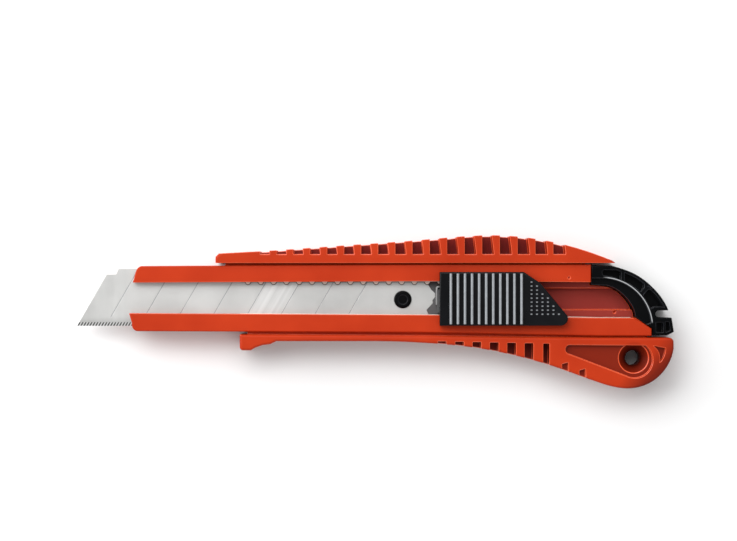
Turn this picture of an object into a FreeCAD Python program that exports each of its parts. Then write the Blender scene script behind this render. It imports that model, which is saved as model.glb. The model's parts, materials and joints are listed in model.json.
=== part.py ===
"""Snap-off utility knife lying on its back: handle, steel guides, blade, carrier, slider and end cap.

Frame, in millimetres: X runs from the blade's tip to the end cap, Y from the belly of the grip to its ribbed
spine, Z up from the table to the thumb slider. The origin is the centre of the rest box, on the table.
"""
import FreeCAD, Part
import math
import os
import Sketcher

V = FreeCAD.Vector

SIZES = {
    # levels above the table
    "grip_thick": 14.4, "sleeve_low": 1.0, "sleeve_top": 13.0, "lip_low": 9.8, "floor_level": 8.0,
    "groove_low": 5.0, "web_low": 3.0, "web_top": 11.2,
    # channel for the blade, and the window in front of it
    "channel_low": -4.75, "channel_high": 13.75, "window_low": -1.0, "window_high": 9.6,
    "arm_groove_low": 0.6, "arm_groove_high": 7.4, "arm_groove_front": -62.0,
    # blade
    "blade_thick": 0.5, "blade_low": 8.2, "blade_top_edge": 13.48, "blade_cut_edge": -4.48,
    "blade_tip": -93.8, "bevel_height": 2.5, "score_pitch": 10.64, "score_depth": 0.1, "score_width": 0.3,
    "score_foot": -84.95, "score_low": -1.8,
    "score_angle": 60.0, "hole_radius": 2.8, "stud_x": 8.84, "stud_y": 3.8, "stud_radius": 2.64,
    "stud_low": 5.4, "stud_top": 9.7, "stud_dish": 1.5,
    # steel guides
    "strip_thick": 0.8, "strip_front": -42.3, "tooth_pitch": 4.03, "tooth_depth": 0.85, "tooth_base": 9.25,
    "first_tooth": -39.9, "tooth_width": 2.0,
    # gaps between the grip's ribs, and cuts
    "gap_depth": 6.0, "cut_through": 20.0, "mark_depth": 0.8,
    # carrier
    "arm_low": 5.3, "plate_back": 47.0, "neck_low": -0.3, "neck_high": 7.0, "neck_front": 19.6,
    # slider
    "slider_low": 13.15, "slider_face": 16.4, "ridge_height": 1.9, "ridge_pitch": 2.2, "ridge_width": 1.15,
    "first_ridge": 23.7, "stud_pitch_x": 1.71, "stud_pitch_y": 1.25, "dot_base": 1.1, "dot_height": 0.5,
    # spring
    "leaf_thick": 0.4, "leaf_low": 9.05, "leaf_wide": 3.2, "leaf_foot": 2.2,
    # end cap
    "cap_top": 12.9, "cap_recess": 3.2, "ridge_wall": 0.7, "tongue_low": 1.8, "tongue_thick": 2.4,
    "fit_gap": 0.15, "snap_slot_wide": 2.3,
    # lanyard hole
    "lanyard_x": 81.1, "lanyard_y": -14.5, "lanyard_radius": 2.4, "dish_radius": 4.7, "dish_depth": 2.8,
    "drop_depth": 1.6,
    # ejector marks in the moulding
    "mark_x": 60.9, "mark_y": 10.7, "floor_mark_x": 75.6, "floor_mark_y": -0.2, "mark_radius": 0.4,
    # edge rounding
    "bead_round": 0.8, "sleeve_round": 0.45, "slider_round": 0.5, "cap_round": 0.45,
}
TEETH = 23
SCORES = 8
RIDGES = 11
UPPER_GAPS = 18
LOWER_GAPS = 7

doc = FreeCAD.newDocument("utility_knife")
sheet = doc.addObject("Spreadsheet::Sheet", "sizes")
for row, (alias, value) in enumerate(SIZES.items(), start=1):
    sheet.set(f"A{row}", alias)
    sheet.set(f"B{row}", str(value))
    sheet.setAlias(f"B{row}", alias)
doc.recompute()


def size(alias):
    return sheet.get(alias)


def curve(*points):
    """A smooth stretch of an outline through these points."""
    return list(points)


def arc(middle, end):
    """A round stretch of an outline, through its middle point to its end."""
    return {"middle": middle, "end": end}


def new_body(name):
    body = doc.addObject("PartDesign::Body", name)
    body.Label = name
    return body


def plane(body, role):
    return next(f for f in body.Origin.OriginFeatures if f.Role == role)


def new_sketch(body, name, role="XY_Plane", level=None):
    """A sketch on one of the body's own planes, raised to the level that an expression gives."""
    sketch = body.newObject("Sketcher::SketchObject", name)
    sketch.AttachmentSupport = (plane(body, role), [""])
    sketch.MapMode = "FlatFace"
    if level:
        sketch.setExpression(".AttachmentOffset.Base.z", level)
    return sketch


def draw(sketch, path):
    """Draws a closed outline: straight lines join its points, curve() is a spline and arc() is an arc."""
    last, ends = path[0], []
    for step in path[1:] + path[:1]:
        start_end, end_end = 1, 2
        if isinstance(step, dict):
            middle, end = step["middle"], step["end"]
            turn = (middle[0] - last[0]) * (end[1] - last[1]) - (middle[1] - last[1]) * (end[0] - last[0])
            if turn < 0:
                start_end, end_end = 2, 1
            edge, last = Part.Arc(V(*last, 0), V(*middle, 0), V(*end, 0)), end
        elif isinstance(step, list):
            edge = Part.BSplineCurve()
            edge.interpolate([V(*last, 0)] + [V(*p, 0) for p in step])
            last = step[-1]
        elif math.dist(last, step) > 1e-6:
            edge, last = Part.LineSegment(V(*last, 0), V(*step, 0)), step
        else:
            continue
        ends.append((sketch.addGeometry(edge, False), start_end, end_end))
    for (edge, _, leaves), (following, arrives, _) in zip(ends, ends[1:] + ends[:1]):
        sketch.addConstraint(Sketcher.Constraint("Coincident", edge, leaves, following, arrives))


def rectangle(sketch, sides):
    """A rectangle whose four sides (x low, x high, y low, y high) are numbers or aliases of the sheet."""
    values = [size(s) if isinstance(s, str) else s for s in sides]
    x0, x1, y0, y1 = values
    corners = [V(x0, y0, 0), V(x1, y0, 0), V(x1, y1, 0), V(x0, y1, 0)]
    edges = [sketch.addGeometry(Part.LineSegment(corners[i], corners[(i + 1) % 4]), False) for i in range(4)]
    for i in range(4):
        sketch.addConstraint(Sketcher.Constraint("Coincident", edges[i], 2, edges[(i + 1) % 4], 1))
    for i in range(4):
        sketch.addConstraint(Sketcher.Constraint("Horizontal" if i % 2 == 0 else "Vertical", edges[i]))
    for kind, edge, side, value in (("DistanceX", 3, 0, x0), ("DistanceX", 1, 1, x1),
                                    ("DistanceY", 0, 2, y0), ("DistanceY", 2, 3, y1)):
        index = sketch.addConstraint(Sketcher.Constraint(kind, -1, 1, edges[edge], 1, value))
        if isinstance(sides[side], str):
            sketch.setExpression(f"Constraints[{index}]", f"sizes.{sides[side]}")


def circle(sketch, x_alias, y_alias, radius_alias):
    middle = V(size(x_alias), size(y_alias), 0)
    edge = sketch.addGeometry(Part.Circle(middle, V(0, 0, 1), size(radius_alias)))
    for kind, alias in (("DistanceX", x_alias), ("DistanceY", y_alias)):
        index = sketch.addConstraint(Sketcher.Constraint(kind, -1, 1, edge, 3, size(alias)))
        sketch.setExpression(f"Constraints[{index}]", f"sizes.{alias}")
    index = sketch.addConstraint(Sketcher.Constraint("Radius", edge, size(radius_alias)))
    sketch.setExpression(f"Constraints[{index}]", f"sizes.{radius_alias}")


def pad(body, sketch, length):
    """Adds the sketch's material upwards, over the length that an expression gives."""
    feature = body.newObject("PartDesign::Pad", sketch.Name + "_pad")
    feature.Profile = sketch
    feature.setExpression("Length", length)
    doc.recompute()
    return feature


def pocket(body, sketch, length, upwards=True):
    """Cuts the sketch's material, upwards from its level unless told otherwise, and sees that it cut."""
    before = body.Shape.Volume
    feature = body.newObject("PartDesign::Pocket", sketch.Name + "_cut")
    feature.Profile = sketch
    feature.Reversed = upwards
    feature.setExpression("Length", length)
    doc.recompute()
    if body.Shape.Volume > before - 1e-3:
        raise RuntimeError(f"{feature.Name} cuts nothing")
    return feature


def edges_of(body, chosen):
    """Names of the body's edges whose middle point and direction the test takes."""
    names = []
    for number, edge in enumerate(body.Shape.Edges, start=1):
        middle = edge.valueAt((edge.FirstParameter + edge.LastParameter) / 2)
        along = edge.tangentAt((edge.FirstParameter + edge.LastParameter) / 2)
        if chosen(middle, along, edge):
            names.append(f"Edge{number}")
    return names


def rounded(body, name, chosen, radius):
    """Rounds the chosen edges by an alias of the sheet."""
    feature = body.newObject("PartDesign::Fillet", name)
    feature.Base = (feature.BaseFeature, edges_of(body, chosen))
    feature.setExpression("Radius", f"sizes.{radius}")
    doc.recompute()
    return feature


def flat_at(*levels):
    """A test for edges that lie flat at one of these levels."""
    return lambda p, t, e: abs(t.z) < 1e-3 and any(abs(p.z - level) < 1e-3 for level in levels)


def join(kind, name, *parts):
    """A boolean of whole objects: Part::MultiFuse of all, or Part::Cut of the first by the second."""
    feature = doc.addObject(kind, name)
    if kind == "Part::Cut":
        feature.Base, feature.Tool = parts
    else:
        feature.Shapes = list(parts)
    feature.Label = name
    doc.recompute()
    return feature


# ---- handle moulding -------------------------------------------------------------------------------------

RAIL_BEND_X = 15.0          # the lower rail bends down behind this point
CROWN_START = 24.0          # the spine's straight rise ends here
CROWN_TOP = 24.0            # and its rounded top reaches this height
GAP_FLOOR = 18.0            # the spine's gaps between ribs reach down to this height
RIB_LEAN = 0.12             # how far their rear walls lean forward, for each millimetre up
GAP_OPEN = 26.0             # a height clear above the spine
WHOLE_EDGE = 124.0          # the spine's inner edge is longer than this, and stays sharp
NOSE = [(-74.6, -6.08), curve((-75.4, -5.7), (-76.2, -3.4)), (-77.1, -0.4), (-76.0, 9.15),
        curve((-75.2, 11.8), (-74.4, 13.6), (-73.3, 14.35))]
CAP_SEAT = [(75.9, 6.75), (79.0, 3.95), (80.7, 1.45), (81.6, -1.75)]


def crown(x):
    """Height of the spine's outline at x: a long straight rise, then a rounded top and a fall."""
    if x <= CROWN_START:
        return 23.2 - 0.0712 * (CROWN_START - x)
    return CROWN_TOP - 0.0054 * (x - 36.0) ** 2


def sleeve():
    """The flat middle of the handle: back wall, channel, window and the two rails that hold the blade in."""
    body = new_body("sleeve")
    outline = new_sketch(body, "sleeve_outline", level="sizes.sleeve_low")
    draw(outline, NOSE + [(RAIL_BEND_X, 14.85), (67.8, 14.85), (67.8, 8.25), curve((72.6, 7.95), *CAP_SEAT),
                          (86.8, -5.3), (86.8, -7.6), (70.0, -7.6), (RAIL_BEND_X, -6.5)])
    pad(body, outline, "sizes.sleeve_top - sizes.sleeve_low")
    levels = size("sleeve_low"), size("sleeve_top")
    rounded(body, "sleeve_edges", flat_at(*levels), "sleeve_round")
    channel = new_sketch(body, "channel", level="sizes.floor_level")
    rectangle(channel, (-90.0, 90.0, "channel_low", "channel_high"))
    pocket(body, channel, "sizes.lip_low - sizes.floor_level")
    window = new_sketch(body, "window", level="sizes.floor_level")
    draw(window, [(-90.0, -0.36), (RAIL_BEND_X, size("window_low")), (70.0, -1.9), (95.0, -1.9), (95.0, 9.3),
                  (67.0, 9.3), (RAIL_BEND_X, size("window_high")), (-90.0, 9.1)])
    pocket(body, window, "sizes.sleeve_top")
    groove = new_sketch(body, "arm_groove", level="sizes.groove_low")
    rectangle(groove, ("arm_groove_front", 90.0, "arm_groove_low", "arm_groove_high"))
    pocket(body, groove, "sizes.floor_level")
    for name, x, y, face in (("rail_mark", "mark_x", "mark_y", "sleeve_top"),
                             ("floor_mark", "floor_mark_x", "floor_mark_y", "floor_level")):
        mark = new_sketch(body, name, level=f"sizes.{face} - sizes.mark_depth")
        circle(mark, x, y, "mark_radius")
        pocket(body, mark, "2 * sizes.mark_depth")
    socket = new_sketch(body, "cap_socket", level="sizes.tongue_low - sizes.fit_gap")
    rectangle(socket, (66.0, 90.0, -1.15, 5.15))
    pocket(body, socket, "sizes.tongue_thick + 2 * sizes.fit_gap")
    return body


def quads(sketch, gaps):
    """Draws several closed outlines in one sketch."""
    for gap in gaps:
        draw(sketch, gap)


def both_faces(name, depth):
    """Name, level and direction of one cut in the grip's front face and one in its back face."""
    return ((f"front_{name}", f"sizes.grip_thick - sizes.{depth}", True),
            (f"back_{name}", f"sizes.{depth}", False))


def upper_gap(number, floor):
    """One gap between the spine's ribs, whose pitch and width grow towards the tail."""
    left = -35.9 + 5.2 * number + 0.0125 * number * (number - 1)
    right = left + 3.0 + 0.05 * number
    foot = right - RIB_LEAN * (floor(right) - GAP_FLOOR)
    head = right - RIB_LEAN * (GAP_OPEN - GAP_FLOOR)
    return [(left, floor(left)), (foot, floor(right)), (head, GAP_OPEN), (left, GAP_OPEN)]


def upper_grip():
    """The spine flange, with gaps between ribs on both faces and a thin web left in the middle."""
    body = new_body("upper_grip")
    outline = new_sketch(body, "spine_outline")
    draw(outline, [(-49.9, 15.3), (-49.9, 17.2), (-48.8, 18.3),
                   curve(*((x, crown(x)) for x in (-30.0, -8.0, 14.0, 30.0, 36.0, 45.0, 55.0, 65.0, 74.4))),
                   (75.4, 15.3)])
    pad(body, outline, "sizes.grip_thick")
    outer = flat_at(0.0, size("grip_thick"))
    rounded(body, "spine_edges", lambda p, t, e: outer(p, t, e) and e.Length < WHOLE_EDGE, "bead_round")
    for name, level, upwards in both_faces("gaps", "gap_depth"):
        gaps = new_sketch(body, name, level=level)
        quads(gaps, [upper_gap(n, lambda x: GAP_FLOOR) for n in range(UPPER_GAPS)])
        pocket(body, gaps, "sizes.cut_through", upwards)
    notches = new_sketch(body, "rib_notches")
    quads(notches, [upper_gap(n, lambda x: crown(x) - 0.35) for n in range(UPPER_GAPS)])
    pocket(body, notches, "sizes.grip_thick")
    return body


def web(name, path):
    """The thin wall that joins a grip flange to the sleeve behind the shadow groove."""
    body = new_body(name)
    outline = new_sketch(body, name + "_outline", level="sizes.web_low")
    draw(outline, path)
    pad(body, outline, "sizes.web_top - sizes.web_low")
    return body


BELLY = curve((9.0, -9.4), (18.7, -9.95), (33.0, -11.5), (45.5, -14.1), (58.1, -17.8), (70.6, -22.3),
              (79.7, -24.0), (86.3, -22.2), (91.5, -17.2), (93.6, -11.5))


def belly(x):
    """Height of the belly's outline at x, between the points that draw it."""
    return next(b[1] + (a[1] - b[1]) * (x - b[0]) / (a[0] - b[0])
                for a, b in zip(BELLY, BELLY[1:]) if a[0] <= x <= b[0])


def lower_gap(number):
    """One gap between the belly's ribs, open at the belly's edge. The last one is narrower."""
    middle = 21.1 + 5.43 * number
    half = 1.35 if number < LOWER_GAPS - 1 else 0.95
    top = -9.2 - 0.12 * number
    return [(middle - half, top), (middle - half, belly(middle) - 3.0), (middle + half, belly(middle) - 3.0),
            (middle + half, top)]


def lower_grip():
    """The belly flange: a hook in front, a thin bead, ribs and a full tail with the lanyard hole."""
    body = new_body("lower_grip")
    outline = new_sketch(body, "belly_outline")
    draw(outline, [(RAIL_BEND_X, -7.4), (-42.3, -7.1), (-42.3, -10.9),
                   curve((-42.0, -11.75), (-41.1, -12.05)), (-38.8, -12.05), (-37.4, -11.2), (-35.0, -10.4),
                   (-32.7, -10.1), (-30.8, -9.2), (0.4, -9.2), BELLY, (93.6, -9.5),
                   arc((93.2, -8.5), (92.2, -8.1)), (70.0, -8.1)])
    pad(body, outline, "sizes.grip_thick")
    rounded(body, "belly_edges", flat_at(0.0, size("grip_thick")), "bead_round")
    for name, level, upwards in both_faces("belly", "gap_depth"):
        gaps = new_sketch(body, name, level=level)
        quads(gaps, [lower_gap(n) for n in range(LOWER_GAPS)])
        pocket(body, gaps, "sizes.cut_through", upwards)
    for name, level, upwards in both_faces("drop", "drop_depth"):
        drop = new_sketch(body, name, level=level)
        draw(drop, [(61.4, -10.3), (84.8, -10.5), arc((86.9, -16.3), (78.6, -20.05)), (60.7, -13.2),
                    arc((59.7, -11.4), (61.4, -10.3))])
        pocket(body, drop, "sizes.cut_through", upwards)
        corner = new_sketch(body, name + "_corner", level=level)
        draw(corner, [(87.2, -10.6), (91.0, -11.3), arc((90.6, -13.6), (89.2, -15.8)),
                      arc((88.9, -12.7), (87.2, -10.6))])
        pocket(body, corner, "sizes.cut_through", upwards)
        notches = new_sketch(body, name + "_notches", level=level)
        for x, y in ((58.6, -16.3), (64.0, -18.3)):
            draw(notches, [(x, y), (x + 1.9, y + 0.5), (x + 2.1, y - 4.0), (x, y - 4.0)])
        pocket(body, notches, "sizes.cut_through", upwards)
    hole = new_sketch(body, "lanyard_hole")
    circle(hole, "lanyard_x", "lanyard_y", "lanyard_radius")
    pocket(body, hole, "sizes.grip_thick")
    return body


def dish():
    """The cone that widens the lanyard hole on the front face."""
    cone = doc.addObject("Part::Cone", "lanyard_dish")
    cone.setExpression("Radius1", "sizes.lanyard_radius")
    cone.setExpression("Radius2", "sizes.dish_radius")
    cone.setExpression("Height", "sizes.dish_depth")
    cone.setExpression("Placement.Base.x", "sizes.lanyard_x")
    cone.setExpression("Placement.Base.y", "sizes.lanyard_y")
    cone.setExpression("Placement.Base.z", "sizes.grip_thick - sizes.drop_depth - sizes.dish_depth")
    return cone


def handle():
    spine_web = web("spine_web", [(-47.0, 14.0), (66.0, 14.0), (66.0, 16.6), (-47.0, 16.6)])
    belly_web = web("belly_web", [(-40.0, -5.6), (-40.0, -8.4), (RAIL_BEND_X, -8.4), (70.0, -9.2),
                                  (85.5, -9.2), (85.5, -6.8), (70.0, -6.8), (RAIL_BEND_X, -5.6)])
    walls = sleeve(), upper_grip(), spine_web, lower_grip(), belly_web
    moulding = join("Part::MultiFuse", "moulding", *walls)
    return join("Part::Cut", "handle_body", moulding, dish())


# ---- steel guides ----------------------------------------------------------------------------------------

def toothed_strip():
    """The locking rack: a flat steel strip under the upper rail, with round teeth along the window."""
    body = new_body("toothed_strip")
    outline = new_sketch(body, "rack_outline", level="sizes.lip_low - sizes.strip_thick")
    base, half, deep = size("tooth_base"), size("tooth_width") / 2, size("tooth_depth")
    path = [(61.2, 12.6), (size("strip_front"), 12.6), (size("strip_front"), base)]
    for number in range(TEETH):
        middle = size("first_tooth") + number * size("tooth_pitch")
        flank, shoulder = 0.7 * half, base - 0.62 * deep
        path += [(middle - half, base), curve((middle - flank, shoulder), (middle, base - deep),
                                              (middle + flank, shoulder), (middle + half, base))]
    draw(outline, path + [(61.2, base)])
    pad(body, outline, "sizes.strip_thick")
    return body


def plain_strip():
    """The smooth steel strip under the lower rail."""
    body = new_body("plain_strip")
    outline = new_sketch(body, "guide_outline", level="sizes.lip_low - sizes.strip_thick")
    draw(outline, [(size("strip_front"), -4.6), (80.5, -4.6), (80.5, -1.72), (70.0, -1.72),
                   (RAIL_BEND_X, -0.82), (size("strip_front"), -0.5)])
    pad(body, outline, "sizes.strip_thick")
    return body


# ---- blade and what carries it ---------------------------------------------------------------------------

BLADE_TAIL = [(17.1, -1.2), (16.3, 0.5), (18.3, 2.7), (18.2, 3.6), (19.0, 4.6), (19.0, 5.8), (17.9, 6.8),
              (16.9, 8.3)]


def snap_blade():
    """One strip of steel: slanted front, ground edge, score lines on both faces and a hole for the stud."""
    body = new_body("snap_blade")
    low, top, tip = size("blade_cut_edge"), size("blade_top_edge"), size("blade_tip")
    lean = math.tan(math.radians(90 - size("score_angle")))
    outline = new_sketch(body, "blade_outline", level="sizes.blade_low")
    draw(outline, [(tip, low), (14.0, low)] + BLADE_TAIL + [(13.5, top), (-80.7, top), (-81.5, 11.7),
                                                            (tip + lean * (11.7 - low), 11.7)])
    pad(body, outline, "sizes.blade_thick")
    hole = new_sketch(body, "stud_hole", level="sizes.blade_low")
    circle(hole, "stud_x", "stud_y", "hole_radius")
    pocket(body, hole, "sizes.blade_thick")
    bevel = new_sketch(body, "ground_edge", "YZ_Plane", level="-100")
    half = size("blade_thick") / 2
    middle, land, top_of_bevel = size("blade_low") + half, 0.03, low + size("bevel_height")
    for side in (-1, 1):
        draw(bevel, [(low - 1.0, middle + side * land), (low, middle + side * land),
                     (top_of_bevel, middle + side * half), (top_of_bevel, middle + side),
                     (low - 1.0, middle + side)])
    pocket(body, bevel, "120")
    for name, level in (("front_scores", "sizes.blade_low + sizes.blade_thick - sizes.score_depth"),
                        ("back_scores", "sizes.blade_low")):
        scores = new_sketch(body, name, level=level)
        for number in range(SCORES):
            start, wide = size("score_low"), size("score_width")
            foot = size("score_foot") + number * size("score_pitch") + lean * (start - low)
            head = foot + lean * (top - start)
            draw(scores, [(foot, start), (foot + wide, start), (head + wide, top), (head, top)])
        pocket(body, scores, "sizes.score_depth")
    return body


def blade_carrier():
    """The sliding block: an arm in the floor groove, a plate behind the blade and a neck to the slider."""
    body = new_body("blade_carrier")
    arm = new_sketch(body, "arm", level="sizes.arm_low")
    rectangle(arm, (3.0, 45.0, 0.9, 7.1))
    pad(body, arm, "sizes.blade_low - sizes.arm_low")
    plate = new_sketch(body, "plate", level="sizes.blade_low - 0.05")
    draw(plate, [(17.4, -4.3)] + [(x + 0.1, y) for x, y in BLADE_TAIL]
         + [(16.9, 13.3), (size("plate_back"), 13.3), (size("plate_back"), -4.3)])
    pad(body, plate, "sizes.blade_thick + 0.1")
    neck = new_sketch(body, "neck", level="sizes.blade_low")
    rectangle(neck, ("neck_front", 46.0, "neck_low", "neck_high"))
    pad(body, neck, "sizes.slider_low - sizes.blade_low")
    seat = new_sketch(body, "stud_seat", level="sizes.arm_low")
    circle(seat, "stud_x", "stud_y", "stud_radius")
    pocket(body, seat, "sizes.blade_low - sizes.arm_low")
    return body


def blade_stud():
    """The round pin in the arm that holds the blade by its hole, with a shallow dish in its head."""
    body = new_body("blade_stud")
    shaft = new_sketch(body, "shaft", level="sizes.stud_low")
    circle(shaft, "stud_x", "stud_y", "stud_radius")
    pad(body, shaft, "sizes.stud_top - sizes.stud_low")
    rounded(body, "head_edge", flat_at(size("stud_top")), "sleeve_round")
    dished = new_sketch(body, "head_dish", level="sizes.stud_top - 0.3")
    circle(dished, "stud_x", "stud_y", "stud_dish")
    pocket(body, dished, "1")
    return body


def lock_spring():
    """A bent leaf: a leg across the front of the neck, then a leaf whose bump sits between two teeth."""
    body = new_body("lock_spring")
    outline = new_sketch(body, "leaf_outline", level="sizes.leaf_low")
    thick = size("leaf_thick")
    bump = size("first_tooth") + 16.5 * size("tooth_pitch")
    front, run = size("neck_front") - thick - 0.02, 8.05
    crest = curve((bump - 0.6, run + 0.65), (bump, run + 0.95), (bump + 0.6, run + 0.65), (bump + 1.3, run))
    hollow = curve((bump + 0.6, run + 0.2), (bump, run + 0.5), (bump - 0.6, run + 0.2),
                   (bump - 1.5, run - thick))
    foot = size("leaf_foot")
    draw(outline, [(front, foot), (front, run - 0.8), curve((front + 0.25, run - 0.2), (front + 0.9, run)),
                   (bump - 1.3, run), crest, (36.0, run), (36.0, run - thick), (bump + 1.5, run - thick),
                   hollow, (front + 1.1, run - thick),
                   curve((front + 0.6, run - 0.6), (front + thick, run - 1.0)), (front + thick, foot)])
    pad(body, outline, "sizes.leaf_wide")
    return body


# ---- thumb slider ----------------------------------------------------------------------------------------

SLIDER_SLOPE = [(46.5, 12.5), (51.6, 9.15), (60.0, -1.0)]


def slope_x(y):
    """Where the slider's slanted rear edge lies at height y."""
    for (xa, ya), (xb, yb) in zip(SLIDER_SLOPE, SLIDER_SLOPE[1:]):
        if yb <= y <= ya:
            return xa + (xb - xa) * (ya - y) / (ya - yb)
    return SLIDER_SLOPE[-1][0]


def thumb_slider():
    """The black thumb piece: eleven cross ridges, then a slanted tail covered in small pyramids."""
    body = new_body("thumb_slider")
    outline = new_sketch(body, "slider_outline", level="sizes.slider_low")
    draw(outline, [(20.25, -4.3), (20.25, 12.5)] + SLIDER_SLOPE
         + [curve((60.35, -1.9), (60.0, -3.2), (59.0, -4.05), (57.8, -4.3))])
    pad(body, outline, "sizes.slider_face - sizes.slider_low")
    rounded(body, "slider_edges", flat_at(size("slider_face")), "slider_round")
    ridges = new_sketch(body, "ridges", "XZ_Plane", level="-12.0")
    half, rise, face = size("ridge_width") / 2, size("ridge_height"), size("slider_face")
    for number in range(RIDGES):
        middle = size("first_ridge") + number * size("ridge_pitch")
        draw(ridges, [(middle - half, face - 0.1), (middle + half, face - 0.1),
                      (middle + 0.75 * half, face + 0.8 * rise),
                      curve((middle, face + rise), (middle - 0.75 * half, face + 0.8 * rise))])
    pad(body, ridges, "15.8")
    return body


def four_corners(x, y, z, half_x, half_y):
    """A closed rectangle around (x, y), at height z."""
    turns = ((-1, -1), (1, -1), (1, 1), (-1, 1), (-1, -1))
    return Part.makePolygon([V(x + a * half_x, y + b * half_y, z) for a, b in turns])


def slider_dots():
    """The pyramids on the slider's tail, in rows and columns that stop at its slanted edge."""
    half, tall, face = size("dot_base") / 2, size("dot_height"), size("slider_face")
    pyramids = []
    for row in range(9):
        y = 9.3 - row * size("stud_pitch_y")
        for column in range(8):
            x = 48.9 + column * size("stud_pitch_x")
            if x + half < slope_x(y) - 0.9:
                base = four_corners(x, y, face - 0.05, half, 0.75 * half)
                peak = four_corners(x, y, face + tall, 0.3 * half, 0.2 * half)
                pyramids.append(Part.makeLoft([base, peak], True))
    dots = doc.addObject("Part::Feature", "slider_dots")
    dots.Shape = Part.makeCompound(pyramids)
    return dots


# ---- end cap ---------------------------------------------------------------------------------------------

CAP_OUTER = [(78.0, 13.35), (81.5, 11.9), (85.0, 9.6), (88.1, 6.7), (90.5, 3.6), (92.1, 0.45)]
CAP_RIDGE = [(72.0, 10.6), (75.2, 10.0), (78.0, 8.95), (80.7, 7.35), (83.2, 5.0), (85.1, 2.1), (86.2, -0.7),
             (86.7, -3.5)]


def beside(points, distance):
    """The same run of points, moved sideways: to its right for a positive distance."""
    moved = []
    for number, (x, y) in enumerate(points):
        before, after = points[max(number - 1, 0)], points[min(number + 1, len(points) - 1)]
        along = math.atan2(after[1] - before[1], after[0] - before[0])
        moved.append((x + distance * math.sin(along), y - distance * math.cos(along)))
    return moved


def cap_pockets(sketch):
    """Hollows between the raised arc and the outer rim, parted by thin walls, and two beside the slot."""
    wall = size("ridge_wall")
    inner = beside(CAP_RIDGE, -wall)
    rim = beside(CAP_OUTER, 0.9)
    draw(sketch, [inner[0], arc((71.4, 11.8), (72.6, 13.2)), (76.0, 13.1), (77.2, 12.6), (77.2, 9.95),
                  curve(inner[1], inner[0])])
    draw(sketch, [(78.3, 9.5), (78.3, 12.3), curve(*rim[1:3]), (84.5, 7.6), (83.3, 6.2),
                  curve((81.2, 8.0), (78.3, 9.5))])
    draw(sketch, [(84.2, 5.2), (85.3, 6.6), (86.1, 7.2), curve(rim[3], rim[4]), (90.9, 1.5), (87.5, 1.5),
                  (86.6, 0.9), curve(inner[5], (84.2, 5.2))])
    draw(sketch, [(85.5, 8.0), (86.0, 7.9), (86.6, 7.4), (86.0, 8.2)])
    draw(sketch, [(88.2, -3.3), (90.4, -3.3), (90.4, -6.5), (88.2, -6.5)])
    draw(sketch, [(91.1, -3.1), (92.2, -3.1), (92.7, -5.9), (91.1, -6.4)])


def end_cap():
    """The black rear cap: curved rim, slot for snapping the blade, pockets and a tongue for the handle."""
    body = new_body("end_cap")
    gap, half = size("fit_gap"), size("snap_slot_wide") / 2
    outline = new_sketch(body, "cap_outline", level="sizes.sleeve_low")
    slot_y = 0.45 - half
    seat = curve(*((x + 2 * gap, y + gap) for x, y in reversed(CAP_SEAT[:-1])), (72.9, 8.0 + 2 * gap))
    draw(outline, [(67.8 + gap, 8.25 + 2 * gap), (67.8 + gap, 14.5), (74.2, 14.5), curve(*CAP_OUTER),
                   (89.2, slot_y + half), arc((89.2 - half, slot_y), (89.2, slot_y - half)),
                   (93.1, slot_y - half), (93.8, -6.3), (91.7, -7.4), (86.8 + gap, -7.4),
                   (86.8 + gap, -5.15), (81.6 + 2 * gap, -1.6), seat])
    pad(body, outline, "sizes.cap_top - sizes.sleeve_low")
    rounded(body, "cap_edges", flat_at(size("cap_top"), size("sleeve_low")), "cap_round")
    recess = new_sketch(body, "cap_pockets", level="sizes.cap_top - sizes.cap_recess")
    cap_pockets(recess)
    pocket(body, recess, "sizes.cut_through")
    step = new_sketch(body, "cap_inner_step", level="sizes.cap_top - 1.3")
    draw(step, [(60.0, 10.6), CAP_RIDGE[0], curve(*CAP_RIDGE[1:]), (84.0, -4.5), (70.0, -4.5), (60.0, 0.0)])
    pocket(body, step, "sizes.cut_through")
    tongue = new_sketch(body, "tongue", level="sizes.tongue_low")
    rectangle(tongue, (66.6, 86.0, -1.0, 5.0))
    pad(body, tongue, "sizes.tongue_thick")
    return body


# ---- assembly --------------------------------------------------------------------------------------------

slider_block, dots = thumb_slider(), slider_dots()
slider_block.Label = "slider_block"
pieces = {
    "handle_body": handle(),
    "toothed_strip": toothed_strip(),
    "plain_strip": plain_strip(),
    "snap_blade": snap_blade(),
    "blade_carrier": blade_carrier(),
    "blade_stud": blade_stud(),
    "lock_spring": lock_spring(),
    "thumb_slider": join("Part::MultiFuse", "thumb_slider_whole", slider_block, dots),
    "end_cap": end_cap(),
}
doc.recompute()

for item in doc.Objects:
    if "Invalid" in item.State or "Error" in item.State:
        raise RuntimeError(f"{item.Name} failed: {item.State}")

os.makedirs("parts", exist_ok=True)
for name, piece in pieces.items():
    shape = piece.Shape
    if shape.isNull() or not shape.isValid():
        raise RuntimeError(f"{name} has no valid shape")
    piece.Label = name
    shape.exportStep(f"parts/{name}.step")
    box = shape.BoundBox
    sides = ((box.XMin, box.XMax), (box.YMin, box.YMax), (box.ZMin, box.ZMax))
    spans = "  ".join(f"{low:7.2f} {high:7.2f}" for low, high in sides)
    print(f"{name:15s} solids {len(shape.Solids)} volume {shape.Volume:9.1f}  {spans}")
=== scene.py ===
"""Looks of the snap-off utility knife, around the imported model: meshes, materials, floor and light."""
import json
import math

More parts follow.
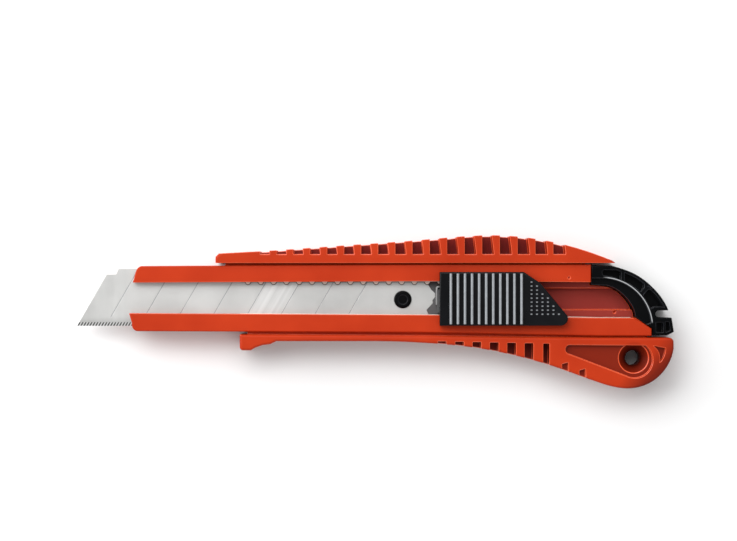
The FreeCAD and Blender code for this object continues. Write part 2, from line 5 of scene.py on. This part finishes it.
import bmesh
import bpy
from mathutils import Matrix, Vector


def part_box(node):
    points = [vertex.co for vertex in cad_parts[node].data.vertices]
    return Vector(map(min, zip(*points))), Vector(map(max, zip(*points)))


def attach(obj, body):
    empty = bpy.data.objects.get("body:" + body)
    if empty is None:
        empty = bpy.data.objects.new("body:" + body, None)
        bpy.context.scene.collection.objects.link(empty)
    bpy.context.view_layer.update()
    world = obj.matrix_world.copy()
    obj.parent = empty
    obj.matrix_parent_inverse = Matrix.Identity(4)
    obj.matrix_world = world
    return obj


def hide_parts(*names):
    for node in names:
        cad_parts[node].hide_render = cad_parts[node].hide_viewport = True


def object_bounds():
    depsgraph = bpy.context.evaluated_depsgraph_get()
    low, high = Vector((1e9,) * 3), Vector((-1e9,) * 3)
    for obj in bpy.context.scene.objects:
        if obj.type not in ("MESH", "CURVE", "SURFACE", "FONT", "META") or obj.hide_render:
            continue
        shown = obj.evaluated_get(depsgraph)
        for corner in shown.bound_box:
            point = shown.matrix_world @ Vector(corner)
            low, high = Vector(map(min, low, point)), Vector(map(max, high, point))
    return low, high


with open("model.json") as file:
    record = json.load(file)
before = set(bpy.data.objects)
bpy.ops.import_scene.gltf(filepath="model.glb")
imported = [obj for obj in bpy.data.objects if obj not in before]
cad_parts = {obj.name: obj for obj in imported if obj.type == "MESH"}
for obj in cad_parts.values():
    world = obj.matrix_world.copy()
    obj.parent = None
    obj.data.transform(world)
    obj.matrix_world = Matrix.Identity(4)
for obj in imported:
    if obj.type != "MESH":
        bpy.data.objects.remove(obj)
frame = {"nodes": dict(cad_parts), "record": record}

MM = 0.001
CAD_BOX = [list(corner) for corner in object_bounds()]
SCORE_LEAN = math.tan(math.radians(30.0))   # the blade's scores lean this far back for each millimetre up
SCORE_START, SCORE_PITCH = -82.2 * MM, 10.64 * MM   # where they cross Y = 0, and how far apart
RIDGE_X, RIDGE_Y, RIDGE_R = 71.22 * MM, -5.07 * MM, 15.61 * MM   # the inner edge of the cap's curved ridge
CHANNEL_MIDDLE = 4.5 * MM   # half way up the blade's channel
HANDLE_MIDDLE = (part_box("handle_body")[0][2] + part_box("handle_body")[1][2]) / 2


# ---- material building -----------------------------------------------------------------------------------

class Nodes:
    """A small helper that builds one node material around one Principled shader."""

    def __init__(self, name):
        self.material = bpy.data.materials.new(name)
        self.material.use_nodes = True
        self.tree = self.material.node_tree
        self.shader = self.tree.nodes["Principled BSDF"]
        self.where = self.tree.nodes.new("ShaderNodeTexCoord").outputs["Object"]
        self.split = self.node("ShaderNodeSeparateXYZ", Vector=self.where)
        self.facing = self.node("ShaderNodeSeparateXYZ", Vector=self.where.node.outputs["Normal"])

    def node(self, kind, **inputs):
        made = self.tree.nodes.new(kind)
        for name, value in inputs.items():
            self.put(made.inputs[name.replace("_", " ")], value)
        return made

    def put(self, socket, value):
        if isinstance(value, bpy.types.NodeSocket):
            self.tree.links.new(value, socket)
        else:
            socket.default_value = value

    def noise(self, scale, detail=4.0, stretch=(1, 1, 1), roughness=0.5):
        """Noise from 0 to 1 whose cells are 1/scale metres, stretched along the axes."""
        moved = self.node("ShaderNodeVectorMath")
        moved.operation = "MULTIPLY"
        self.put(moved.inputs[0], self.where)
        self.put(moved.inputs[1], stretch)
        made = self.node("ShaderNodeTexNoise", Scale=scale, Detail=detail, Roughness=roughness)
        self.put(made.inputs["Vector"], moved.outputs[0])
        return made.outputs["Fac"]

    def between(self, factor, low, high, start=0.0, end=1.0):
        """The factor, remapped from start..end to low..high."""
        made = self.node("ShaderNodeMapRange", From_Min=start, From_Max=end, To_Min=low, To_Max=high)
        self.put(made.inputs["Value"], factor)
        return made.outputs["Result"]

    def mix(self, factor, first, second):
        made = self.tree.nodes.new("ShaderNodeMix")
        made.data_type = "RGBA"
        self.put(made.inputs["Factor"], factor)
        self.put(made.inputs["A"], first)
        self.put(made.inputs["B"], second)
        return made.outputs["Result"]

    def math(self, operation, first, second=0.0):
        made = self.tree.nodes.new("ShaderNodeMath")
        made.operation = operation
        self.put(made.inputs[0], first)
        self.put(made.inputs[1], second)
        return made.outputs[0]

    def bump(self, height, depth, strength=1.0):
        made = self.node("ShaderNodeBump", Height=height, Distance=depth, Strength=strength)
        self.put(self.shader.inputs["Normal"], made.outputs["Normal"])

    def axis(self, letter):
        """One coordinate of the point, in metres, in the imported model's own frame."""
        return self.split.outputs[letter]

    def window(self, value, low, high, soft):
        """1 between low and high, falling to 0 over a soft margin on each side."""
        return self.math("MULTIPLY", self.between(value, 0.0, 1.0, low - soft, low + soft),
                         self.between(value, 1.0, 0.0, high - soft, high + soft))

    def squared(self, letter, middle):
        """The square of the distance from a middle value along one axis."""
        return self.math("POWER", self.math("SUBTRACT", self.axis(letter), middle), 2.0)


def rgb(red, green, blue):
    """A colour given as the eye sees it, from 0 to 255, in the linear values that a shader takes."""
    def linear(value):
        value /= 255
        return value / 12.92 if value <= 0.04045 else ((value + 0.055) / 1.055) ** 2.4
    return (linear(red), linear(green), linear(blue), 1.0)


def moulded(m, light, dark, rough, grain=0.5, depth=0.01):
    """Moulded plastic: fine spark-eroded grain and a slow drift of colour and gloss. Returns its colour."""
    drift = m.noise(60.0, 3.0)
    speck = m.noise(2600.0, 2.0)
    m.put(m.shader.inputs["Roughness"], m.math("ADD", m.between(drift, rough - 0.05, rough + 0.05, 0.3, 0.7),
                                               m.between(speck, -0.04, 0.04)))
    m.bump(m.math("ADD", m.math("MULTIPLY", speck, grain), m.noise(300.0, 2.0)), depth * MM)
    return m.mix(m.between(drift, 0.0, 1.0, 0.3, 0.7), dark, light)


def steel(m, colour, rough, stretch, spread=0.08, groove=0.002):
    """Rolled or ground steel: lines along the grain, faint stains. Returns its colour."""
    grain = m.noise(900.0, 6.0, stretch, 0.6)
    stain = m.noise(70.0, 4.0)
    gloss = m.between(grain, rough - spread, rough + spread, 0.3, 0.7)
    m.put(m.shader.inputs["Roughness"], m.math("ADD", gloss, m.between(stain, -0.03, 0.05)))
    m.shader.inputs["Metallic"].default_value = 1.0
    m.bump(grain, groove * MM, 0.5)
    return m.mix(m.between(stain, 0.0, 1.0, 0.35, 0.65), tuple(0.9 * c for c in colour[:3]) + (1.0,), colour)


def finished(m, colour, shine):
    """Gives the shader its colour and an even specular level."""
    m.put(m.shader.inputs["Base Color"], colour)
    m.shader.inputs["Specular IOR Level"].default_value = shine
    return m.material


def orange_abs():
    """The handle: orange, with painted shade in wine red on the deep channel floor and between the ribs."""
    m = Nodes("orange_abs")
    colour = moulded(m, rgb(190, 54, 16), rgb(177, 47, 13), 0.42)
    from_middle = m.math("ABSOLUTE", m.math("SUBTRACT", m.axis("Z"), HANDLE_MIDDLE))
    # painted shade: level faces deep in the handle, on the channel floor and in the rib gaps, turn wine red
    deep = m.between(from_middle, 1.0, 0.0, 2.4 * MM, 3.0 * MM)
    level = m.between(m.math("ABSOLUTE", m.facing.outputs["Z"]), 0.0, 1.0, 0.6, 0.9)
    shade_wine = m.mix(m.noise(90.0, 3.0), rgb(150, 50, 42), rgb(168, 62, 53))
    # painted shade: the gaps between ribs, outside the channel, are narrower and are painted darker still
    from_channel = m.math("ABSOLUTE", m.math("SUBTRACT", m.axis("Y"), CHANNEL_MIDDLE))
    shade_wine = m.mix(m.between(from_channel, 0.0, 1.0, 10.8 * MM, 11.4 * MM), shade_wine, rgb(116, 27, 21))
    colour = m.mix(m.math("MULTIPLY", deep, level), colour, shade_wine)
    # painted shade in the hollows of the grip and on the heel of its tail
    hollow_shade = m.math("MULTIPLY", m.between(from_middle, 0.8, 0.0, 5.9 * MM, 6.6 * MM),
                    m.between(m.axis("Y"), 1.0, 0.0, -9.2 * MM, -8.8 * MM))
    heel_shade = m.between(m.math("SUBTRACT", m.axis("X"), m.axis("Y")), 0.0, 0.95, 98.5 * MM, 107.0 * MM)
    colour = m.mix(m.math("MAXIMUM", hollow_shade, heel_shade), colour, rgb(108, 25, 8))
    # painted shade round the lanyard hole and down its bore
    hole = Vector(next(m["pos_m"] for m in frame["record"]["mounts"] if m["name"] == "lanyard_hole"))
    from_axis = m.math("SQRT", m.math("ADD", m.squared("X", hole.x), m.squared("Y", hole.y)))
    hole_shade = m.between(from_axis, 0.85, 0.0, 2.3 * MM, 5.4 * MM)
    return finished(m, m.mix(hole_shade, colour, rgb(46, 8, 5)), 0.13)


def orange_edge():
    """Broken edges of the handle: smoother, and painted a little paler as a highlight."""
    m = Nodes("orange_edge")
    return finished(m, moulded(m, rgb(232, 92, 50), rgb(218, 76, 36), 0.3, 0.2), 0.5)


def black_plastic():
    """The slider: near-black, glossy, with a painted grey highlight on its ridge tops and points."""
    m = Nodes("black_plastic")
    colour = moulded(m, rgb(15, 16, 20), rgb(5, 6, 9), 0.3, 0.3)
    # painted highlight: the ridge crests and the tops of the points are grey
    highlight_grey = m.mix(m.noise(900.0, 3.0), rgb(136, 139, 143), rgb(170, 174, 178))
    crest = m.between(m.axis("Z"), 0.0, 1.0, 17.8 * MM, 18.1 * MM)
    tail = m.between(m.axis("X"), 0.0, 1.0, 48.0 * MM, 48.2 * MM)
    point = m.math("MULTIPLY", tail, m.between(m.axis("Z"), 0.0, 0.75, 16.6 * MM, 16.85 * MM))
    return finished(m, m.mix(m.math("MAXIMUM", crest, point), colour, highlight_grey), 0.16)


def black_edge():
    """Broken edges of the cap and stud: smoother, and painted a little paler as a highlight."""
    m = Nodes("black_edge")
    return finished(m, moulded(m, rgb(58, 60, 66), rgb(34, 36, 41), 0.25, 0.2), 0.4)


def deep_black():
    """The cap and stud: black, with a painted highlight line along the top of the cap's curved ridge."""
    m = Nodes("deep_black")
    colour = moulded(m, rgb(9, 10, 13), rgb(2, 3, 4), 0.34, 0.3)
    from_centre = m.math("SQRT", m.math("ADD", m.squared("X", RIDGE_X), m.squared("Y", RIDGE_Y)))
    # painted highlight along the top of the curved ridge
    line = m.window(from_centre, RIDGE_R + 0.12 * MM, RIDGE_R + 0.42 * MM, 0.05 * MM)
    reach = m.math("MULTIPLY", m.between(m.axis("X"), 0.0, 1.0, 71.5 * MM, 73.5 * MM),
                   m.between(m.axis("Y"), 0.0, 1.0, -3.6 * MM, -2.8 * MM))
    level = m.between(m.axis("Z"), 0.0, 1.0, 12.6 * MM, 12.8 * MM)
    ridge_highlight = m.math("MULTIPLY", line, m.math("MULTIPLY", reach, level))
    return finished(m, m.mix(ridge_highlight, colour, rgb(168, 170, 172)), 0.07)


def grey_plastic(name, light, dark):
    m = Nodes(name)
    return finished(m, moulded(m, light, dark, 0.5), 0.3)


def blade_steel():
    """The blade: fine ground grain, a hatched cutting edge, score lines painted dark as shade, and a painted
    reflection over one segment.
    """
    m = Nodes("blade_steel")
    colour = steel(m, rgb(219, 219, 217), 0.36, (1.0, 0.02, 1.0), 0.02, 0.0004)
    # where a line through the point, parallel to the scores, crosses Y = 0
    across = m.math("SUBTRACT", m.axis("X"), m.math("MULTIPLY", m.axis("Y"), SCORE_LEAN))
    slanted = m.node("ShaderNodeCombineXYZ", X=across)
    streaks = m.node("ShaderNodeTexNoise", Vector=slanted.outputs[0], Scale=620.0, Detail=3.0).outputs["Fac"]
    # painted reflection: bright diagonal streaks over the segment between the fifth and sixth scores
    sheen = m.window(across, SCORE_START + 4 * SCORE_PITCH, SCORE_START + 5 * SCORE_PITCH, 0.08 * MM)
    painted_reflection = m.math("MULTIPLY", sheen, m.between(streaks, 0.05, 0.6, 0.38, 0.62))
    colour = m.mix(painted_reflection, colour, rgb(248, 248, 247))
    hatch = m.node("ShaderNodeTexWave", Vector=slanted.outputs[0], Scale=335.0, Distortion=0.4, Detail=1.0)
    ground = m.between(m.axis("Y"), 1.0, 0.0, -3.5 * MM, -3.2 * MM)
    scratched = m.mix(m.between(hatch.outputs["Fac"], 0.0, 1.0, 0.35, 0.65), rgb(92, 92, 92),
                      rgb(236, 236, 235))
    colour = m.mix(ground, colour, scratched)
    return finished(m, colour, 0.5)


def score_steel():
    """The sunken score lines, painted darker than the blade's faces as shade in the grooves."""
    m = Nodes("score_steel")
    return finished(m, steel(m, rgb(176, 177, 178), 0.5, (1.0, 0.02, 1.0)), 0.5)


def strip_steel():
    # painted reflection: the pink-white tint of the steel stands for the orange handle it reflects
    m = Nodes("strip_steel")
    return finished(m, steel(m, rgb(250, 234, 222), 0.4, (0.02, 1.0, 1.0)), 0.5)


def strip_edge():
    """The sheared sides of the steel guides and the rim round the rack's top and bottom faces, painted dark
    as the shadow outline of the teeth.
    """
    m = Nodes("strip_edge")
    return finished(m, steel(m, rgb(66, 44, 38), 0.5, (1.0, 1.0, 0.2)), 0.5)


def spring_steel():
    m = Nodes("spring_steel")
    return finished(m, steel(m, rgb(190, 190, 190), 0.35, (1.0, 1.0, 0.05)), 0.5)


# ---- meshes ----------------------------------------------------------------------------------------------

def body_of(node):
    return next(name for name, members in frame["record"]["behaviour"]["bodies"].items() if node in members)


def welded(node, name, rim=0.0):
    """A copy of a CAD node's mesh with its vertices shared and its flat faces made whole.

    With a rim, the top and bottom faces get a band of this width round their outline, with material 1.
    """
    mesh = bpy.data.meshes.new(name)
    work = bmesh.new()
    work.from_mesh(frame["nodes"][node].data)
    bmesh.ops.remove_doubles(work, verts=work.verts, dist=0.0005 * MM)
    bmesh.ops.dissolve_limit(work, angle_limit=math.radians(0.5), verts=work.verts, edges=work.edges)
    if rim:
        flats = [face for face in work.faces if abs(face.normal.z) > 0.99]
        bands = bmesh.ops.inset_individual(work, faces=flats, thickness=rim * MM, use_even_offset=True)
        for band in bands["faces"]:
            band.material_index = 1
    work.to_mesh(mesh)
    work.free()
    for attribute in ("custom_normal", "sharp_edge", "sharp_face"):
        if attribute in mesh.attributes:
            mesh.attributes.remove(mesh.attributes[attribute])
    return mesh


def paint(mesh, index, chosen):
    """Gives the faces that the test takes the material at this index."""
    for face in mesh.polygons:
        if chosen(face):
            face.material_index = index


def bevelled(piece, width, index):
    """Rounds the sharp edges and gives the new faces the material at this index."""
    rounding = piece.modifiers.new("broken_edges", "BEVEL")
    rounding.width = width * MM
    rounding.segments = 2
    rounding.limit_method = "ANGLE"
    rounding.angle_limit = math.radians(50.0)
    rounding.use_clamp_overlap = False
    rounding.miter_outer = "MITER_ARC"
    rounding.material = index


def held_inside(piece, node):
    """Bakes the bevel into the mesh and holds every vertex inside the CAD node's own box.

    Without an overlap clamp, the bevel throws a few vertices at tight corners past the part's faces.
    """
    low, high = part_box(node)
    bpy.context.view_layer.update()
    baked = bpy.data.meshes.new_from_object(piece.evaluated_get(bpy.context.evaluated_depsgraph_get()))
    for vertex in baked.vertices:
        vertex.co = [min(max(value, low[i]), high[i]) for i, value in enumerate(vertex.co)]
    piece.modifiers.clear()
    piece.data = baked


def refined(node, name, materials, bevel, edge_index=0, faces=(), rim=0.0):
    """A copy of a CAD node with whole flat faces, softly broken edges and smooth curves."""
    mesh = welded(node, name, rim)
    for material in materials:
        mesh.materials.append(material)
    for index, chosen in faces:
        paint(mesh, index, chosen)
    mesh.shade_smooth()
    piece = bpy.data.objects.new(name, mesh)
    bpy.context.scene.collection.objects.link(piece)
    bevelled(piece, bevel, edge_index)
    held_inside(piece, node)
    weighted = piece.modifiers.new("flat_faces", "WEIGHTED_NORMAL")
    weighted.keep_sharp = False
    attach(piece, body_of(node))
    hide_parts(node)
    return piece


def sheared(face):
    """A face that stands square to the sheet."""
    return abs(face.normal.z) < 0.5


def in_score(face):
    """The floor or side of a score line, below the blade's own two faces."""
    low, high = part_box("snap_blade")[0][2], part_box("snap_blade")[1][2]
    sunk = low + 0.03 * MM < face.center.z < high - 0.03 * MM
    return sunk and face.center.y > -2.0 * MM and abs(face.normal.y) < 0.8


cap_black, cap_edge = deep_black(), black_edge()
strip, strip_side = strip_steel(), strip_edge()
refined("handle_body", "handle_moulding", [orange_abs(), orange_edge()], 0.2, 1)
refined("end_cap", "rear_cap", [cap_black, cap_edge], 0.1, 1)
refined("thumb_slider", "slider_button", [black_plastic()], 0.06)
refined("blade_stud", "stud_pin", [cap_black, cap_edge], 0.06, 1)
refined("blade_carrier", "carrier_block", [grey_plastic("grey_plastic", rgb(96, 96, 97), rgb(76, 76, 77))],
        0.05)
# the rack's rim and sheared sides take the strip_edge material, a painted shadow outline round its teeth
refined("toothed_strip", "locking_rack", [strip, strip_side], 0.03, 1, faces=[(1, sheared)],
        rim=0.2)
refined("plain_strip", "lower_guide", [strip, strip_side], 0.05, faces=[(1, sheared)])
refined("snap_blade", "blade_strip", [blade_steel(), score_steel()], 0.02,
        faces=[(1, in_score)])
refined("lock_spring", "spring_leaf", [spring_steel()], 0.05)


# ---- floor, light, camera --------------------------------------------------------------------------------

def floor():
    bpy.ops.mesh.primitive_plane_add(size=6.0, location=(0, 0, CAD_BOX[0][2] - 0.0002))
    plane = bpy.context.object
    plane.name = "floor"
    m = Nodes("pale_floor")
    tone = m.noise(3.0, 2.0)
    m.put(m.shader.inputs["Base Color"], m.mix(tone, (0.93, 0.93, 0.93, 1.0), (0.96, 0.96, 0.96, 1.0)))
    m.shader.inputs["Roughness"].default_value = 0.9
    m.shader.inputs["Specular IOR Level"].default_value = 0.1
    plane.data.materials.append(m.material)


def area_light(name, place, target, width, height, power, colour=(1, 1, 1)):
    lamp = bpy.data.lights.new(name, "AREA")
    lamp.shape = "RECTANGLE"
    lamp.size, lamp.size_y, lamp.energy, lamp.color = width, height, power, colour
    holder = bpy.data.objects.new(name, lamp)
    bpy.context.scene.collection.objects.link(holder)
    holder.location = place
    holder.rotation_euler = (Vector(target) - Vector(place)).to_track_quat("-Z", "Y").to_euler()


def lights():
    """A large key from the upper left, a strip at the left, one overhead for the steel, and a low fill."""
    world = bpy.data.worlds.new("studio")
    world.use_nodes = True
    world.node_tree.nodes["Background"].inputs["Color"].default_value = (1, 1, 1, 1)
    world.node_tree.nodes["Background"].inputs["Strength"].default_value = 0.46
    bpy.context.scene.world = world
    area_light("key_softbox", (-0.55, 0.7, 0.8), (0, 0, 0), 1.3, 1.1, 12.6)
    area_light("left_strip", (-0.95, 0.2, 0.4), (0, 0, 0), 0.5, 0.3, 2.6)
    area_light("overhead_softbox", (-0.1, 0.5, 1.15), (0, 0, 0), 1.2, 0.5, 4.4)
    area_light("fill_softbox", (0.4, -0.8, 0.7), (0, 0, 0), 0.8, 0.6, 1.4)


def camera():
    """Square onto the front face, from far enough that it shows no depth, with the knife low in the frame."""
    view = bpy.data.cameras.new("camera")
    view.lens, view.sensor_width = 120.0, 36.0
    frame_width, face_level = 0.231, 0.013
    holder = bpy.data.objects.new("camera", view)
    bpy.context.scene.collection.objects.link(holder)
    holder.location = (-0.00197, 0.01295, face_level + frame_width * view.lens / view.sensor_width)
    bpy.context.scene.camera = holder


floor()
lights()
camera()
bpy.context.scene.view_settings.view_transform = "Standard"

bpy.context.view_layer.update()
